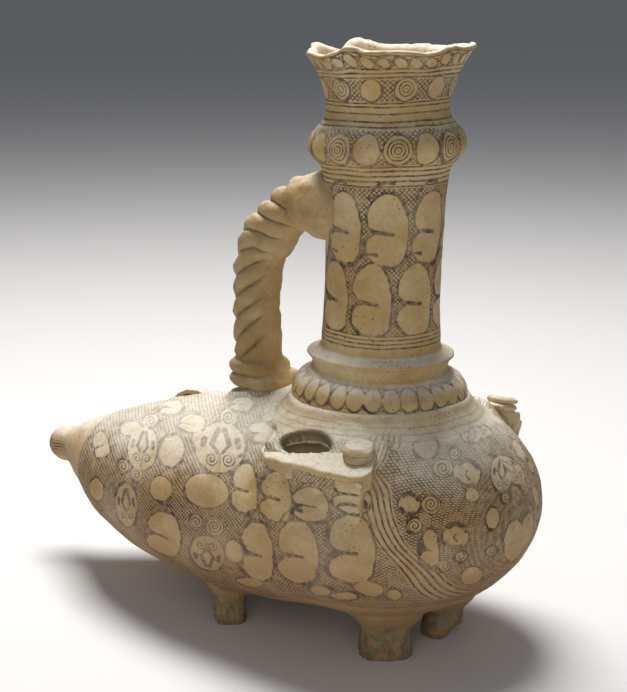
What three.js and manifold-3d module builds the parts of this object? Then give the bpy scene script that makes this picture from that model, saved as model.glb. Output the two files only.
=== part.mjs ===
// Hand-built pottery ewer. One fired clay body: a plump hollow belly that tapers to a knobbed nose,
// four stub feet, a tall flanged neck with a wavy mouth, a rope handle over the back, a slotted lug
// with a coiled knob on each flank, and a small pierced ear on the ridge.
// Millimetres, +Z up. The nose points along -X, the rear along +X.

import * as THREE from 'three';
import { mergeVertices } from 'three/addons/utils/BufferGeometryUtils.js';
import Module from 'manifold-3d';

const wasm = await Module();
wasm.setup();

// Wall
const wall = 7;

// Belly: each station is [reach from the neck axis toward the nose, half width, top, bottom]
const rearReach = 99;
const stations = [
  [0, 99.5, 164, 22],
  [69, 93, 153.5, 16],
  [138.5, 81, 138, 19],
  [195.5, 60, 122.8, 31.4],
  [239, 33, 107.6, 51.3],
  [266, 15, 96.6, 64.8],
];
const bellyMesh = { around: 38, nose: 19, rear: 10 };
const cavityMesh = { around: 22, nose: 10, rear: 6 };

// Nose knob
const knobReach = 276;
const knobHeight = 80;
const knobRadius = 13.3;

// Neck heights and radii, measured on its axis
const neckFoot = 124;
const baseRollRadius = 54.3;
const baseRollHeight = 164;
const collarRadius = 42.5;
const collarFoot = 176;
const flangeRadius = 45.4;
const flangeHeight = 186;
const shaftRadius = 35.8;
const waistHeight = 241;
const shaftTop = 273;
const bulgeRadius = 48.2;
const bulgeHeight = 314.5;
const throatRadius = 37.2;
const throatHeight = 338;
const mouthRadius = 50.6;
const mouthHeight = 371.3;
const boreRadius = 29.5;
const neckAround = 32;
const boreAround = 22;

// The neck leans to the rear, and its rings tip from front to rear as they go up
const neckOffset = -4.3;
const neckLean = 0.026;
const ringTip = -0.0225;
const ringTipGrowth = 0.00035;

// Pinches and chips of the lip: [direction in degrees, rise, spread in degrees]
const pinches = [
  [-95, -3.6, 9],
  [-79, 2.8, 8],
  [-28, -2, 14],
  [-11, 1.8, 8],
  [34, 1.2, 14],
  [80, -1.3, 10],
  [147, 5, 11],
  [162, -2, 6],
  [180, 2, 9],
  [214, 1, 12],
];

// Rope handle: the line of its middle, from inside the ridge to inside the neck wall
const handleLine = [
  [-98, 0, 137],
  [-99.5, -1, 169.5],
  [-98.8, -3, 200.5],
  [-96.4, -5, 223],
  [-90.5, -8, 246],
  [-77, -10.5, 260.5],
  [-56.5, -13.5, 272.5],
  [-33.5, -14.5, 276.5],
  [-12, -14.5, 277.5],
];
const handleDepth = 15.2;
const handleWidth = 13.7;
const handleAround = 20;
const handleAlong = 54;

// Rope, foot coils and trumpet of the handle, by their distance along its line
const ropeStrands = 5;
const ropeTurns = 2.8;
const ropeDepth = 2.6;
const ropeFrom = 34;
const ropeTo = 154;
const footCoils = [[15, 5.8], [27.5, 5]];
const footCoilDepth = 5;
const heelSpread = 10;
const heelTop = 39;
const trumpetFrom = 150;
const trumpetTo = 175;
const trumpetFlare = 5.5;

// Lug on each flank, with y counted outward from the middle plane
const lugFront = -41;
const lugRear = 48;
const lugReach = 94;
const lugRoot = 59;
const lugTop = 146.6;
const lugSlope = 0.3;
const lugDroop = 0.15;
const lugThick = 11;
const slotRear = 10;
const slotFront = -25;
const slotInner = 61;
const slotOuter = 79;
const slotSlant = 0.7;
const slotScoop = 4;
const slotDepth = 21;
const buttressFront = 12;
const buttressFoot = 104.5;
const buttressHead = 130.6;
const buttressSkew = 0.4;
const buttressTuck = 0.15;
const coilAcross = 75;
const coilRadius = 9.5;
const coilThick = 5.2;
const nearCoil = 32;
const farCoil = 40;
const farLugShift = [-2, 0, -2];

// Pierced ear on the ridge
const earMiddle = -158.8;
const earFoot = 131.2;
const earAside = 2;
const earLength = 32.5;
const earHeight = 7;
const earThick = 10;
const earSlope = 0.27;
const earSlit = [15, 3.6];

// Feet: [x, y, radius, height lost from the broken underside, direction of the break in degrees]
const feet = [
  [16, -22, 15.9, 0, 0],
  [28, 27.3, 13.6, 8, 20],
  [-96.4, -38.5, 10.8, 6, 200],
  [-91, 34.4, 13.6, 3, 120],
];
const footTop = 44;
const footFlare = 0.8;

const clay = new THREE.MeshStandardMaterial({ color: 0xb9a684, roughness: 0.85, metalness: 0 });

// A closed geometry as a solid that can be joined and cut
function solid(geometry) {
  const bare = geometry.clone();
  bare.deleteAttribute('normal');
  bare.deleteAttribute('uv');
  const merged = mergeVertices(bare, 1e-4);
  return new wasm.Manifold(new wasm.Mesh({
    numProp: 3,
    vertProperties: new Float32Array(merged.attributes.position.array),
    triVerts: new Uint32Array(merged.index.array),
  }));
}

// Moves every vertex of a geometry by a rule
function reshape(geometry, rule) {
  const spots = geometry.attributes.position;
  const spot = new THREE.Vector3();
  for (let i = 0; i < spots.count; i += 1) {
    spot.fromBufferAttribute(spots, i);
    rule(spot);
    spots.setXYZ(i, spot.x, spot.y, spot.z);
  }
  return geometry;
}

function clamp(value, low, high) {
  return Math.min(high, Math.max(low, value));
}

function smooth(value, low, high) {
  const t = clamp((value - low) / (high - low), 0, 1);
  return t * t * (3 - 2 * t);
}

function hump(value, middle, spread) {
  return Math.exp(-(((value - middle) / spread) ** 2));
}

// Half width, top and bottom of the belly at a part of the way from the neck axis to the nose
const widthLine = new THREE.CatmullRomCurve3(
  stations.map(([reach, half]) => new THREE.Vector3(reach, half, 0)), false, 'catmullrom', 0.5);
const depthLine = new THREE.CatmullRomCurve3(
  stations.map(([reach, , top, bottom]) => new THREE.Vector3(reach, top, bottom)), false, 'catmullrom', 0.5);

function bellySection(part) {
  const width = widthLine.getPoint(part);
  const depth = depthLine.getPoint(part);
  return { reach: width.x, half: width.y, top: depth.y, bottom: depth.z };
}

// Belly skin, or with an inset its cavity, from a ball whose poles lie at the nose and the rear
function belly({ around, nose, rear }, inset) {
  const rings = nose + rear;
  const ball = new THREE.SphereGeometry(1, around, rings);
  return reshape(ball, (spot) => {
    const ring = Math.round((Math.acos(clamp(spot.y, -1, 1)) / Math.PI) * rings);
    const angle = Math.atan2(spot.z, spot.x);
    const toNose = clamp((nose - ring) / (nose - 1), 0, 1);
    const toRear = clamp((ring - nose) / rear, 0, 1) * (Math.PI / 2);
    const section = bellySection(toNose);
    const middle = (section.top + section.bottom) / 2;
    const high = section.top - middle - inset;
    const low = middle - section.bottom - inset;
    const shrink = ring === 0 ? 0 : Math.cos(toRear);
    const up = Math.sin(angle);
    const tip = ring === 0 ? 2 : 0;
    spot.x = (rearReach - inset) * Math.sin(toRear) - section.reach - tip + inset * toNose;
    spot.y = (section.half - inset) * Math.cos(angle) * shrink;
    spot.z = middle + (up > 0 ? high : low) * up * shrink;
  });
}

// Rise of the lip in a direction
function lipRise(angle) {
  const degrees = THREE.MathUtils.radToDeg(angle);
  let rise = 0;
  for (const [direction, height, spread] of pinches) {
    const off = ((degrees - direction + 540) % 360 + 360) % 360 - 180;
    rise += height * Math.exp(-((off / spread) ** 2));
  }
  return rise;
}

// Lean of the neck, tip of its rings and the wavy lip, for a lathed form that stands on the Z axis
function setNeck(geometry) {
  return reshape(geometry, (spot) => {
    const angle = Math.atan2(spot.y, spot.x);
    const lip = smooth(spot.z, mouthHeight - 15, mouthHeight - 1);
    const rise = lipRise(angle) * lip;
    const height = Math.max(spot.z, baseRollHeight);
    const tip = ringTip + ringTipGrowth * (height - flangeHeight);
    const spread = 1 + 0.012 * rise;
    const x = spot.x * spread;
    spot.z += rise + x * tip;
    spot.x = x + neckOffset + neckLean * (height - flangeHeight);
    spot.y *= spread;
  });
}

// A profile of [radius, height] turned round the Z axis
function turned(path, steps, around) {
  const lathe = new THREE.LatheGeometry(path.getPoints(steps), around);
  return setNeck(lathe.rotateX(Math.PI / 2));
}

function neckSkin() {
  const path = new THREE.Path();
  path.moveTo(0, neckFoot);
  path.lineTo(baseRollRadius - 12, neckFoot);
  path.lineTo(baseRollRadius - 2.5, baseRollHeight - 7);
  path.quadraticCurveTo(baseRollRadius + 1.5, baseRollHeight + 1, baseRollRadius - 3.5, baseRollHeight + 6);
  path.quadraticCurveTo(baseRollRadius - 8, collarFoot - 2, collarRadius, collarFoot);
  path.quadraticCurveTo(collarRadius - 0.5, flangeHeight - 5, flangeRadius - 1, flangeHeight - 2.5);
  path.lineTo(flangeRadius, flangeHeight + 1);
  path.lineTo(flangeRadius - 1.5, flangeHeight + 3.2);
  path.lineTo(shaftRadius + 1.6, flangeHeight + 5.5);
  path.quadraticCurveTo(shaftRadius - 0.6, waistHeight, shaftRadius + 0.6, shaftTop);
  path.lineTo(shaftRadius + 3, bulgeHeight - 13.5);
  path.quadraticCurveTo(shaftRadius + 6, bulgeHeight - 10.5, bulgeRadius - 1.6, bulgeHeight - 5);
  path.quadraticCurveTo(bulgeRadius + 1.4, bulgeHeight, bulgeRadius - 1.2, bulgeHeight + 5.5);
  path.quadraticCurveTo(bulgeRadius - 6, bulgeHeight + 11.5, throatRadius + 1, bulgeHeight + 17);
  path.quadraticCurveTo(throatRadius - 1.6, throatHeight + 5, throatRadius + 4, throatHeight + 19);
  path.quadraticCurveTo(mouthRadius - 6, mouthHeight - 8, mouthRadius, mouthHeight - 3);
  path.lineTo(mouthRadius - 0.6, mouthHeight);
  path.lineTo(mouthRadius - 3.5, mouthHeight + 1.4);
  path.lineTo(0, mouthHeight + 1.4);
  return turned(path, 2, neckAround);
}

function neckBore() {
  const path = new THREE.Path();
  path.moveTo(0, neckFoot - 6);
  path.lineTo(boreRadius, neckFoot - 6);
  path.lineTo(boreRadius, bulgeHeight - 14);
  path.quadraticCurveTo(boreRadius + 7, bulgeHeight, boreRadius + 2, throatHeight - 4);
  path.quadraticCurveTo(boreRadius + 2, throatHeight + 12, mouthRadius - 10, mouthHeight - 8);
  path.lineTo(mouthRadius - 5.5, mouthHeight);
  path.lineTo(mouthRadius - 3.5, mouthHeight + 9);
  path.lineTo(0, mouthHeight + 9);
  return turned(path, 2, boreAround);
}

// Rope handle: a capped tube whose rows of points wind with its strands; the rope shows on the outer
// side, the side toward the neck is smooth, two coils wrap the foot and a trumpet meets the neck.
// It is drawn with its sides swapped, wound left, and mirrored, so that each strand follows the facets.
function handle() {
  const line = new THREE.CatmullRomCurve3(handleLine.map(([x, y, z]) => new THREE.Vector3(x, -y, z)));
  const length = line.getLength();
  const tube = new THREE.CylinderGeometry(1, 1, 1, handleAround, handleAlong);
  const side = new THREE.Vector3(0, -1, 0);
  reshape(tube, (spot) => {
    const part = clamp(spot.y + 0.5, 0, 1);
    const run = part * length;
    const row = Math.atan2(spot.z, spot.x);
    const fill = Math.hypot(spot.x, spot.z);
    const angle = row + part * ropeTurns * 2 * Math.PI;
    const middle = line.getPointAt(part);
    const tangent = line.getTangentAt(part);
    const outward = new THREE.Vector3().crossVectors(side, tangent).normalize();
    const across = new THREE.Vector3().crossVectors(outward, tangent);
    const outer = smooth(Math.cos(angle), -0.75, -0.1);
    const rope = smooth(run, ropeFrom, ropeFrom + 8) * (1 - smooth(run, ropeTo - 8, ropeTo));
    const groove = Math.abs(Math.cos((ropeStrands / 2) * row)) ** 4;
    let grow = ropeDepth * (0.4 - groove) * outer * rope;
    for (const [height, spread] of footCoils) {
      grow += footCoilDepth * outer * hump(run, height, spread);
    }
    grow += heelSpread * (1 - outer) * (1 - smooth(run, heelTop - 32, heelTop));
    grow += trumpetFlare * smooth(run, trumpetFrom, trumpetTo);
    spot.copy(middle);
    spot.addScaledVector(outward, (handleDepth + grow) * Math.cos(angle) * fill);
    spot.addScaledVector(across, (handleWidth + grow) * Math.sin(angle) * fill);
  });
  return solid(tube).mirror([0, 1, 0]);
}

// Height of a lug's upper face at a place in plan
function lugFace(x, y) {
  return lugTop - lugSlope * (y - lugRoot) + lugDroop * Math.min(x, 0);
}

// Shelf of a lug, drawn in plan and bent down outward, with the buttress and the coiled knob
function lug(coilX) {
  const plan = new THREE.Shape();
  plan.moveTo(lugRear - 14, lugRoot);
  plan.lineTo(lugRear, lugReach - 12);
  plan.quadraticCurveTo(lugRear, lugReach - 1, lugRear - 13, lugReach);
  plan.quadraticCurveTo(4, lugReach + 1, lugFront + 19, lugReach - 8);
  plan.quadraticCurveTo(lugFront + 1, lugReach - 13, lugFront, lugReach - 23);
  plan.lineTo(lugFront + 6, lugRoot);
  plan.closePath();
  const shelf = new THREE.ExtrudeGeometry(plan, {
    depth: lugThick - 3,
    bevelSize: 1.5,
    bevelOffset: -1.5,
    bevelThickness: 1.5,
    bevelSegments: 1,
    curveSegments: 4,
  });
  reshape(shelf, (spot) => {
    spot.z += lugFace(spot.x, spot.y) - lugThick + 1.5;
  });

  const face = new THREE.Shape();
  face.moveTo(buttressFront, buttressHead);
  face.quadraticCurveTo(buttressFront + 1, buttressFoot, buttressFront + 12, buttressFoot - 2);
  face.lineTo(lugRear - 9, buttressFoot);
  face.quadraticCurveTo(lugRear - 1, buttressFoot + 6, lugRear - 1, buttressHead);
  face.closePath();
  const depth = lugReach - lugRoot;
  const buttress = new THREE.ExtrudeGeometry(face, { depth, bevelEnabled: false, curveSegments: 4 });
  reshape(buttress.rotateX(Math.PI / 2), (spot) => {
    spot.x += buttressSkew * spot.y;
    spot.y += lugReach - buttressTuck * (buttressHead - spot.z);
  });

  const coilFoot = lugFace(coilX, coilAcross) - 1.5;
  let whole = solid(shelf).add(solid(buttress));
  for (const [level, grow] of [[0, 0.4], [1, 0]]) {
    const disc = new THREE.LatheGeometry([
      new THREE.Vector2(0, 0),
      new THREE.Vector2(coilRadius + grow - 1.6, 0),
      new THREE.Vector2(coilRadius + grow, coilThick / 2),
      new THREE.Vector2(coilRadius + grow - 1.2, coilThick),
      new THREE.Vector2(0, coilThick + 0.8),
    ], 12);
    disc.rotateX(Math.PI / 2).rotateX(-0.2);
    disc.translate(coilX, coilAcross + level, coilFoot + level * (coilThick - 0.6));
    whole = whole.add(solid(disc));
  }
  return whole;
}

// Slot of a lug, slanting outward with the belly, which it scoops a little
function lugSlot(shift) {
  const outline = new THREE.Shape();
  outline.absellipse(
    (slotFront + slotRear) / 2, (slotInner + slotOuter) / 2,
    (slotRear - slotFront) / 2, (slotOuter - slotInner) / 2, 0, Math.PI * 2, false);
  const cutter = new THREE.ExtrudeGeometry(outline, { depth: slotDepth, bevelEnabled: false, curveSegments: 7 });
  reshape(cutter, (spot) => {
    spot.z += lugTop + 1 - slotDepth;
    spot.y -= slotSlant * (spot.z - lugTop + 5);
  });
  return solid(cutter).translate(shift).subtract(solid(belly(bellyMesh, slotScoop)));
}

// Half-moon ear on the ridge, pierced by a slit across the ridge
function ear() {
  const half = earLength / 2;
  const moon = new THREE.Shape();
  moon.moveTo(-half - 2, -7);
  moon.lineTo(half + 2, -7);
  moon.lineTo(half, 0);
  moon.quadraticCurveTo(half - 4, earHeight, 0, earHeight);
  moon.quadraticCurveTo(4 - half, earHeight, -half, 0);
  moon.closePath();
  const [slitLength, slitHeight] = earSlit;
  const slit = new THREE.Path();
  slit.absellipse(-1, earHeight - 5.4, slitLength / 2, slitHeight / 2, 0, Math.PI * 2, true);
  moon.holes.push(slit);
  const form = new THREE.ExtrudeGeometry(moon, { depth: earThick, bevelEnabled: false, curveSegments: 5 });
  form.rotateX(Math.PI / 2).translate(0, earThick / 2, 0);
  return form.rotateY(-Math.atan(earSlope)).translate(earMiddle, earAside, earFoot);
}

// Stub foot: waisted, spread where it meets the belly, with a part of its underside broken away
function foot([x, y, radius, lost, breakAt]) {
  const stub = new THREE.CylinderGeometry(1, 1, 1, 14, 5);
  const toward = THREE.MathUtils.degToRad(breakAt);
  return reshape(stub.rotateX(Math.PI / 2), (spot) => {
    const level = spot.z + 0.5;
    const angle = Math.atan2(spot.y, spot.x);
    const fill = Math.hypot(spot.x, spot.y);
    const flare = 1 + 0.1 * (1 - smooth(level, 0, 0.3)) + footFlare * smooth(level, 0.3, 0.85);
    const square = 1 + 0.05 * Math.cos(4 * angle);
    const broken = lost * (1 - smooth(level, 0, 0.6)) * smooth(fill * Math.cos(angle - toward), 0.05, 0.8);
    const chipped = 1 - 0.02 * broken;
    spot.x = x + Math.cos(angle) * fill * radius * flare * square * chipped;
    spot.y = y + Math.sin(angle) * fill * radius * flare * square * chipped;
    spot.z = level * footTop + broken;
  });
}

function build() {
  const knob = reshape(new THREE.SphereGeometry(knobRadius, 16, 10), (spot) => {
    spot.x = spot.x * 1.05 - knobReach;
    spot.z += knobHeight;
  });
  const farLug = lug(farCoil).translate(farLugShift);
  const nearLug = lug(nearCoil).mirror([0, 1, 0]);
  let outside = solid(belly(bellyMesh, 0));
  outside = outside.add(solid(knob)).add(solid(neckSkin())).add(handle()).add(solid(ear()));
  outside = outside.add(farLug).add(nearLug);
  for (const size of feet) {
    outside = outside.add(solid(foot(size)));
  }
  const hollow = solid(belly(cavityMesh, wall)).add(solid(neckBore()));
  const slots = lugSlot(farLugShift).add(lugSlot([0, 0, 0]).mirror([0, 1, 0]));
  return outside.subtract(slots).subtract(hollow);
}

// The joined form as a geometry, moved so that the middle of its footprint is the origin
const form = build().getMesh();
const geometry = new THREE.BufferGeometry();
geometry.setAttribute('position', new THREE.BufferAttribute(new Float32Array(form.vertProperties), 3));
geometry.setIndex(new THREE.BufferAttribute(new Uint32Array(form.triVerts), 1));
geometry.computeBoundingBox();
const middle = geometry.boundingBox.getCenter(new THREE.Vector3());
geometry.translate(-middle.x, -middle.y, -geometry.boundingBox.min.z);
geometry.computeVertexNormals();

const ewer = new THREE.Mesh(geometry, clay);
ewer.name = 'ewer';

const part = new THREE.Group();
part.add(ewer);

export default part;
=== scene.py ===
import math

import bmesh
import bpy
import numpy as np
from mathutils import Matrix, Vector, noise


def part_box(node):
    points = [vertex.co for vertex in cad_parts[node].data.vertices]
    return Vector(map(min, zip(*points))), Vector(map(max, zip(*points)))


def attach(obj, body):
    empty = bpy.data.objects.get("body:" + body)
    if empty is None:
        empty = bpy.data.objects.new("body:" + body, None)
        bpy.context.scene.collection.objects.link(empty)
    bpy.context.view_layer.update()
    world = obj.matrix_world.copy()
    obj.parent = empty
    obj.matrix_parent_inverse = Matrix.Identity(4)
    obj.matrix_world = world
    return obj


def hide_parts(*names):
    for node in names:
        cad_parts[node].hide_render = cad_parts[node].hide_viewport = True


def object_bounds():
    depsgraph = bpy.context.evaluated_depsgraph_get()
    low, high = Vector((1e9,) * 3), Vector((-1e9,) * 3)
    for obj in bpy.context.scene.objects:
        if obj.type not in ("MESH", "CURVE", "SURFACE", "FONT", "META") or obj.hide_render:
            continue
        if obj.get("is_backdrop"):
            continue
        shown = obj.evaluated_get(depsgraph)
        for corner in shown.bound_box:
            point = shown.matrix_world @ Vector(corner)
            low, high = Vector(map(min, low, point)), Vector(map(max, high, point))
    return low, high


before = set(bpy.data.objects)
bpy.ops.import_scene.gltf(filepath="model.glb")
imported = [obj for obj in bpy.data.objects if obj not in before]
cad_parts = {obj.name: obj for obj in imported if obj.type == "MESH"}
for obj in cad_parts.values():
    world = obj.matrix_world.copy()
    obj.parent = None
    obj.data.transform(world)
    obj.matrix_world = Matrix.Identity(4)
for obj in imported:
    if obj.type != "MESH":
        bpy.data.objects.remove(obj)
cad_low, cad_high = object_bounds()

# Where the ewer stands and how it is seen. Sizes are in millimetres, measured from the neck's axis,
# with -X toward the nose; to_frame sets them in the frame. The camera stands a metre off the near
# flank, a little above the mouth, and looks down on it.
MM = 0.001
REAR_REACH = 99.0
rear_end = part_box("ewer")[1].x / MM
to_frame = Matrix.Translation(((rear_end - REAR_REACH) * MM, 0, 0)) @ Matrix.Scale(MM, 4)

CAMERA_ROUND = math.radians(34)
CAMERA_ASIDE = math.radians(2.41)
CAMERA_DOWN = math.radians(13.1)
CAMERA_DISTANCE = 1070
CAMERA_HEIGHT = 438.7
CAMERA_LENS = 92.4

camera = bpy.data.objects.new("camera", bpy.data.cameras.new("camera"))
camera.data.lens = CAMERA_LENS
camera.data.sensor_width = 36
bpy.context.scene.collection.objects.link(camera)
bpy.context.scene.camera = camera
stand = Vector((math.sin(CAMERA_ROUND), -math.cos(CAMERA_ROUND), 0)) * CAMERA_DISTANCE
stand.z = CAMERA_HEIGHT
heading = CAMERA_ROUND + CAMERA_ASIDE
look = Vector((-math.sin(heading), math.cos(heading), -math.tan(CAMERA_DOWN)))
camera.location = to_frame @ stand
camera.rotation_mode = "QUATERNION"
camera.rotation_quaternion = look.to_track_quat("-Z", "Y")


# Belly: the hollow body, built up by hand and beaten round, with a solid knob for a nose. It is
# buff clay under a cream slip, painted in dark brown all over: leaves and palmettes on a hatched
# ground, a striped medallion round the rear, and fine lines round the underside.
WALL = 7.0
BELLY_ROWS = [
    (0, 99.5, 164, 22),
    (69, 93, 153.5, 16),
    (138.5, 81, 138, 19),
    (195.5, 60, 122.8, 31.4),
    (239, 33, 107.6, 51.3),
    (261, 17, 98.2, 62.5),
    (270, 13, 93.8, 66.6),
    (278, 13.2, 93.2, 66.8),
    (285, 10.3, 90.3, 69.7),
    (288.6, 5.6, 85.6, 74.4),
    (289.7, 0, 80, 80),
]
BELLY_AROUND = 300
BELLY_RINGS = 272
CAVITY_AROUND = 72
CAVITY_RINGS = 56
NECK_HOLE = 33.0
NECK_X = -4.8
MOUND_REACH = 80.0
MOUND_EDGE = 54.0
MOUND_FOOT = 136.0
MOUND_TOP = 160.0
LUG_SPAN = (-34, 39)
LUG_TOP = 146.6
LUG_ROOT = 59.0
LUG_SLOPE = 0.3
LUG_DROOP = 0.15
LUG_THICK = 11.0
SLOT_SLANT = 0.7
FAR_LUG_SHIFT = (-2.0, -2.0)
SLOT = (-7.5, 73, 17.5, 6.2)
SLOT_SCOOP = 9.0
HANDLE_FOOT = (-98.5, 0)
FEET = [
    ("foot_near_rear", 16, -22, 15.9, 0, 0),
    ("foot_far_rear", 28, 27.3, 13.6, 8, 20),
    ("foot_near_front", -96.4, -38.5, 10.8, 6, 200),
    ("foot_far_front", -91, 34.4, 13.6, 3, 120),
]


def smooth_line(rows, count, ends=None):
    """Points at even steps on a smooth line through the rows."""
    rows = np.array(rows, float)
    first = 2 * rows[0] - rows[1] if ends is None else ends
    posts = np.vstack([first, rows, 2 * rows[-1] - rows[-2]])
    at = np.linspace(0, len(rows) - 1, 50 * len(rows))
    i = np.minimum(at.astype(int), len(rows) - 2)
    f = (at - i)[:, None]
    a, b, c, d = posts[i], posts[i + 1], posts[i + 2], posts[i + 3]
    fine = b + 0.5 * f * (c - a + f * (2 * a - 5 * b + 4 * c - d + f * (3 * (b - c) + d - a)))
    run = np.append(0, np.cumsum(np.linalg.norm(np.diff(fine, axis=0), axis=1)))
    even = np.linspace(0, run[-1], count)
    return np.stack([np.interp(even, run, column) for column in fine.T], 1)


def ease(value, low, high):
    """From 0 at low to 1 at high, smoothly."""
    t = np.clip((value - low) / (high - low), 0, 1)
    return t * t * (3 - 2 * t)


def read_spots(bm):
    return np.array([v.co for v in bm.verts])


def write_spots(bm, spots):
    for v, spot in zip(bm.verts, spots):
        v.co = spot


def rough(spots, scale, seed):
    """Smooth noise from about -1 to 1 at each spot, with lumps of the given size."""
    shift = Vector((seed * 17.3, seed * 5.1, seed * 9.7))
    return np.array([noise.noise(Vector(spot) / scale + shift) for spot in spots])


def face_outward(bm):
    bm.normal_update()
    bmesh.ops.recalc_face_normals(bm, faces=bm.faces)
    bm.normal_update()


def ball_of_rows(bm, rows, rear_reach, around, rings):
    """A closed ball drawn out to the rows toward the nose and to a half ellipse at the rear."""
    made = bmesh.ops.create_uvsphere(bm, u_segments=around, v_segments=rings, radius=1)["verts"]
    unit = np.array([v.co for v in made])
    share = np.arccos(np.clip(unit[:, 2], -1, 1)) / math.pi
    turn = np.arctan2(unit[:, 1], unit[:, 0])
    mirrored = np.array(rows[1], float) * (-1, 1, 1, 1)
    line = smooth_line(rows, 500, mirrored)
    nose_run = np.append(0, np.cumsum(np.linalg.norm(np.diff(line[:, :2], axis=0), axis=1)))
    swing = np.linspace(0, math.pi / 2, 200)
    half = rows[0][1]
    steps = np.hypot(rear_reach * np.diff(np.sin(swing)), half * np.diff(np.cos(swing)))
    rear_run = np.append(0, np.cumsum(steps))
    from_neck = share * (nose_run[-1] + rear_run[-1]) - nose_run[-1]
    bend = np.interp(from_neck, rear_run, swing)
    reach, width, top, bottom = (np.interp(-from_neck, nose_run, column) for column in line.T)
    middle = (top + bottom) / 2
    deep = (top - bottom) / 2 * np.cos(bend)
    at = np.stack([
        rear_reach * np.sin(bend) - reach,
        width * np.cos(bend) * np.cos(turn),
        middle + deep * np.sin(turn),
    ], 1)
    for v, spot in zip(made, at):
        v.co = spot
    return made


def lug_face(x, across):
    """Height of a lug's upper face at a place in plan."""
    return LUG_TOP - LUG_SLOPE * (across - LUG_ROOT) + LUG_DROOP * np.minimum(x, 0)


def beyond(*overs):
    """Distance outside a box, from how far each way the spot lies past its sides."""
    return np.sqrt(sum(np.maximum(over, 0) ** 2 for over in overs))


def fillet(distance, rise, reach):
    """Height of a concave roll of clay at a distance from what it is pressed against."""
    return rise * np.clip(1 - distance / reach, 0, 1) ** 2


def on_near_lug(spots):
    """Places counted as on the near lug, with y outward, for both flanks."""
    far = spots[:, 1] > 0
    x = np.where(far, spots[:, 0] - FAR_LUG_SHIFT[0], spots[:, 0])
    z = np.where(far, spots[:, 2] - FAR_LUG_SHIFT[1], spots[:, 2])
    return x, np.abs(spots[:, 1]), z


def slot_share(spots):
    """How deep in a lug's slot a place lies: 1 in its middle, 0 on its edge, less outside."""
    x, out, _ = on_near_lug(spots)
    return 1 - np.hypot((x - SLOT[0]) / SLOT[2], (out - SLOT[1]) / SLOT[3])


def joins(spots):
    """How far the belly swells where the neck, handle, lugs, ear and feet are joined to it."""
    x, y, z = spots.T
    upper = z > 80
    from_axis = np.hypot(x - NECK_X, y)
    neck = from_axis - MOUND_EDGE
    climb = np.clip((MOUND_REACH - from_axis) / (MOUND_REACH - MOUND_EDGE), 0, 1)
    mound = np.maximum(MOUND_FOOT + (MOUND_TOP - MOUND_FOOT) * climb - z, 0) * ease(from_axis, 40, 50)
    in_slot = ease(slot_share(spots), -0.05, 0.2) * upper
    swell = 0.9 * mound * (from_axis < MOUND_REACH) * upper * (1 - in_slot)
    swell += fillet(np.maximum(neck, 0), 1.5, 5) * upper
    handle = np.hypot(x - HANDLE_FOOT[0], y) - 19
    swell += fillet(np.maximum(handle, 0), 3.5, 9) * upper * (neck > 0)
    ear = beyond(np.abs(x + 158.8) - 16, np.abs(y - 2) - 5)
    swell += fillet(ear, 1.8, 6) * upper
    lug_x, out, lug_z = on_near_lug(spots)
    level = lug_face(lug_x, out) - LUG_THICK / 2
    middle, half = (LUG_SPAN[0] + LUG_SPAN[1]) / 2, (LUG_SPAN[1] - LUG_SPAN[0]) / 2
    flank = out > 55
    shelf = beyond(np.abs(lug_x - middle) - half, np.abs(lug_z - level) - LUG_THICK / 2)
    rear = ease(lug_x, 26, 44)
    swell += fillet(shelf, 3.2 + 1.5 * rear, 8 + 5 * rear) * flank * (1 - in_slot)
    buttress = beyond(np.abs(lug_x - 30) - 12, np.abs(lug_z - 124) - 8)
    swell += fillet(buttress, 3.2, 12) * flank * (shelf > 0)
    swell -= SLOT_SCOOP * in_slot * flank * (lug_z > 120)
    for _, foot_x, foot_y, radius, _, _ in FEET:
        foot = np.hypot(x - foot_x, y - foot_y) - radius * 1.3
        swell += fillet(np.maximum(foot, 0), 3, 9) * (z < 60)
    return swell


bm = bmesh.new()
outer = ball_of_rows(bm, BELLY_ROWS, REAR_REACH, BELLY_AROUND, BELLY_RINGS)
face_outward(bm)
spots = read_spots(bm)
out = np.array([v.normal for v in bm.verts])
lumps = 0.8 * rough(spots, 38, 1) + 0.35 * rough(spots, 12, 2) + 0.1 * rough(spots, 3.5, 3)
lumps *= 1 - ease(np.abs(spots[:, 1]), 96, 99)
lumps *= 1 - ease(spots[:, 0], 92, 98)
write_spots(bm, spots + out * (lumps + joins(spots) - 0.3)[:, None])
skin = bm.verts.layers.float.new("skin")
for v in bm.verts:
    v[skin] = 1
cavity_rows = [
    (reach * 0.97, half - WALL, top - WALL, bottom + WALL)
    for reach, half, top, bottom in BELLY_ROWS if half > 30
]
cavity_rows.append((250, 0, 80, 80))
ball_of_rows(bm, cavity_rows, REAR_REACH - WALL, CAVITY_AROUND, CAVITY_RINGS)
in_bore = [
    f for f in bm.faces
    if f.calc_center_median().z > 100
    and all(math.hypot(v.co.x - NECK_X, v.co.y) < NECK_HOLE for v in f.verts)
]
bmesh.ops.delete(bm, geom=in_bore, context="FACES")
rims = [e for e in bm.edges if e.is_boundary]
bmesh.ops.bridge_loops(bm, edges=rims)
face_outward(bm)


def new_piece(name, bm):
    """The finished shape, set in the frame as a smooth object."""
    mesh = bpy.data.meshes.new(name)
    bm.to_mesh(mesh)
    bm.free()
    mesh.shade_smooth()
    piece = bpy.data.objects.new(name, mesh)
    bpy.context.scene.collection.objects.link(piece)
    return piece


def mesh_arrays(mesh):
    spots = np.zeros(len(mesh.vertices) * 3)
    mesh.vertices.foreach_get("co", spots)
    facing = np.zeros(len(mesh.vertices) * 3)
    mesh.vertices.foreach_get("normal", facing)
    return spots.reshape(-1, 3), facing.reshape(-1, 3)


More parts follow.
